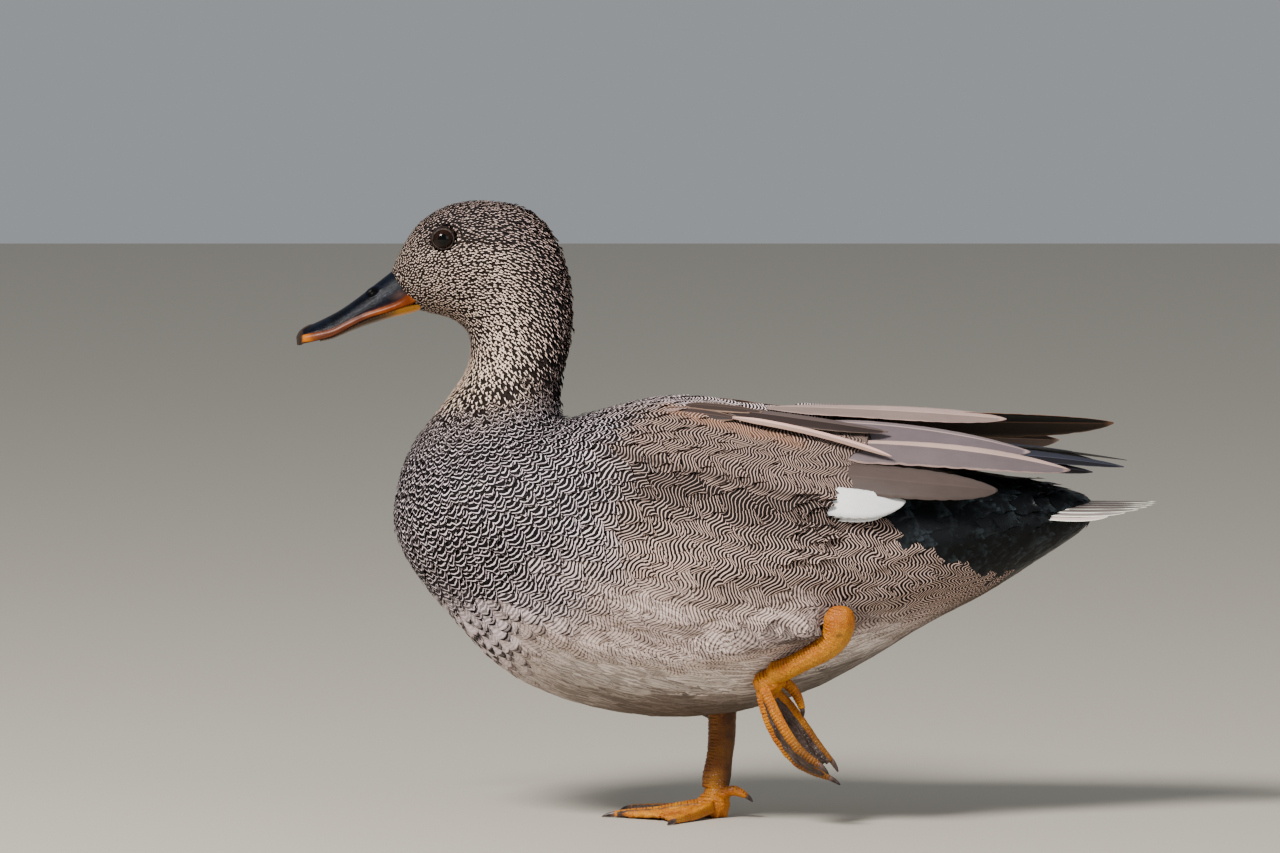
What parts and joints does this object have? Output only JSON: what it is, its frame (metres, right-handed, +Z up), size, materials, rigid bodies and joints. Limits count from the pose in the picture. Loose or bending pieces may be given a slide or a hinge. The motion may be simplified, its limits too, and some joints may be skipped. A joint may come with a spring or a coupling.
{
  "type": "drake gadwall duck",
  "caption": "Life-size still model of a drake gadwall in mid-step: one webbed foot planted flat, the other lifted and folded, head raised, wings closed over the back.",
  "frame": {"origin": "centre of the bounding box at floor level, under the planted foot's sole", "axes": "+X from the bill towards the tail, along the bird's length; the bird faces -X, its left side is -Y, +Z is up"},
  "size_m": [0.3447, 0.1204, 0.248],
  "materials": {
    "speckled_head_feathers": "matte, fine dark and pale speckles",
    "speckled_neck_feathers": "matte, fine transverse bars",
    "barred_body_feathers": "matte, fine grey and white bars",
    "black_tail_coverts": "satin black",
    "buff_scapulars": "matte, buff with pale edges",
    "grey_wing_feathers": "matte grey brown",
    "silver_tertials": "satin silver grey with pale edges",
    "slate_primaries": "satin slate",
    "pale_tail_feathers": "matte pale grey with white edges",
    "slate_bill": "satin horn, slate with orange edge",
    "orange_bill_edge": "satin horn, orange",
    "orange_leg_skin": "satin scaled skin, orange",
    "dark_claw": "satin horn, dark",
    "dark_brown_eye": "gloss, very dark brown"
  },
  "bodies": {
    "root": {"bill_lower": "orange_bill_edge", "bill_upper": "slate_bill", "claw_left_hind": "dark_claw", "claw_left_inner": "dark_claw", "claw_left_middle": "dark_claw", "claw_left_outer": "dark_claw", "claw_right_hind": "dark_claw", "claw_right_inner": "dark_claw", "claw_right_middle": "dark_claw", "claw_right_outer": "dark_claw", "eye_left": "dark_brown_eye", "eye_right": "dark_brown_eye", "foot_left": "orange_leg_skin", "foot_right": "orange_leg_skin", "head": "speckled_head_feathers", "neck": "speckled_neck_feathers", "primaries_left": "slate_primaries", "primaries_right": "slate_primaries", "rump": "black_tail_coverts", "scapulars_left": "buff_scapulars", "scapulars_right": "buff_scapulars", "tail": "pale_tail_feathers", "tarsus_left": "orange_leg_skin", "tarsus_right": "orange_leg_skin", "tertials_left": "silver_tertials", "tertials_right": "silver_tertials", "thigh_left": "barred_body_feathers", "thigh_right": "barred_body_feathers", "trunk": "barred_body_feathers", "wing_left": "grey_wing_feathers", "wing_right": "grey_wing_feathers"}
  },
  "joints": []
}
